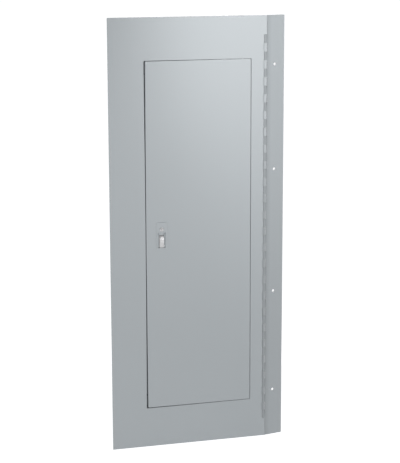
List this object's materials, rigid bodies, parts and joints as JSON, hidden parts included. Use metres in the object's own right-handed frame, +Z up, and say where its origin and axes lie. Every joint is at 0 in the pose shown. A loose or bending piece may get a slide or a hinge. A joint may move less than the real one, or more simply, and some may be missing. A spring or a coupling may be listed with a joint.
{
  "type": "hinged panelboard cover",
  "caption": "Hinged front cover for a flush panelboard: grey steel trim on a continuous hinge and screw-on strip, with a flush latched and locked inner door.",
  "frame": {"origin": "on the back face of the mounting strip, on the line of its four screw holes, at mid height", "axes": "+Z up along the hinge, -Y out of the front of the trim panel, +X from the latch side towards the mounting strip; the trim panel stands square to the axes and the strip is folded back 12 degrees"},
  "size_m": [0.5451, 0.0323, 1.3081],
  "materials": {
    "painted_sheet": "light grey semi-gloss baked enamel on sheet steel",
    "painted_frame": "light grey semi-gloss baked enamel",
    "zinc_steel": "bright zinc plated steel",
    "painted_zinc": "grey satin enamel on a die casting",
    "plated_lock": "satin chrome",
    "stainless": "brushed stainless steel",
    "bumper_rubber": "matte black rubber",
    "holder_plastic": "matte off-white plastic",
    "card": "uncoated blank card",
    "clear_plastic": "clear plastic sheet"
  },
  "bodies": {
    "strip": {"mounting_strip": "painted_sheet", "hinge_pin": "zinc_steel"},
    "trim": {"trim_panel": "painted_sheet", "latch_side_channel": "painted_frame", "hinge_side_channel": "painted_frame", "upper_channel": "painted_frame", "lower_channel": "painted_frame", "strike_plate": "zinc_steel", "door_bumpers": "bumper_rubber", "upper_hinge_bracket": "zinc_steel", "middle_hinge_bracket": "zinc_steel", "lower_hinge_bracket": "zinc_steel"},
    "door": {"door_panel": "painted_sheet", "upper_hinge_lug": "zinc_steel", "middle_hinge_lug": "zinc_steel", "lower_hinge_lug": "zinc_steel", "upper_pivot_pin": "zinc_steel", "middle_pivot_pin": "zinc_steel", "lower_pivot_pin": "zinc_steel", "directory_frame": "holder_plastic", "directory_card": "card", "directory_window": "clear_plastic", "latch_housing": "painted_zinc", "latch_retainer": "zinc_steel", "lock_cylinder": "plated_lock", "lock_nut": "zinc_steel", "pull_pin": "zinc_steel", "pull_spring": "zinc_steel", "bolt_guide_left": "zinc_steel", "bolt_guide_right": "zinc_steel"},
    "lock": {"lock_plug": "plated_lock", "lock_cam": "zinc_steel", "cam_screw": "zinc_steel"},
    "pull": {"door_pull": "stainless"},
    "bolt": {"latch_bolt": "zinc_steel"},
    "upper_clamp": {"upper_clamp_screw": "zinc_steel", "upper_clamp_pawl": "zinc_steel", "upper_clamp_nut": "zinc_steel"},
    "lower_clamp": {"lower_clamp_screw": "zinc_steel", "lower_clamp_pawl": "zinc_steel", "lower_clamp_nut": "zinc_steel"}
  },
  "joints": [
    {"name": "trim_hinge", "type": "hinge", "parent": "strip", "child": "trim", "pos_m": [-0.0312, -0.00663, 0], "axis": [0, 0, 1], "range_deg": [0, 132]},
    {"name": "door_hinge", "type": "hinge", "parent": "trim", "child": "door", "pos_m": [-0.0923, -0.00253, 0], "axis": [0, 0, -1], "range_deg": [-110, 0]},
    {"name": "pull_tilt", "type": "hinge", "parent": "door", "child": "pull", "pos_m": [-0.3549, -0.00393, -0.027], "axis": [1, 0, 0], "range_deg": [0, 30], "stiffness_Nm_per_rad": 0.012, "springref_deg": -20.05},
    {"name": "bolt_slide", "type": "slide", "parent": "door", "child": "bolt", "axis": [1, 0, 0], "range_m": [0, 0.0095]},
    {"name": "lock_turn", "type": "hinge", "parent": "door", "child": "lock", "pos_m": [-0.3549, -0.00853, 0.0235], "axis": [0, 1, 0], "range_deg": [-90, 0]},
    {"name": "upper_clamp_turn", "type": "hinge", "parent": "trim", "child": "upper_clamp", "pos_m": [-0.3909, 0.00647, 0.414], "axis": [0, 1, 0], "range_deg": [0, 90]},
    {"name": "lower_clamp_turn", "type": "hinge", "parent": "trim", "child": "lower_clamp", "pos_m": [-0.3909, 0.00647, -0.414], "axis": [0, 1, 0], "range_deg": [0, 90]}
  ],
  "couplings": [
    {"joint": "bolt_slide", "follows": "pull_tilt", "m_per_rad": 0.018143}
  ]
}
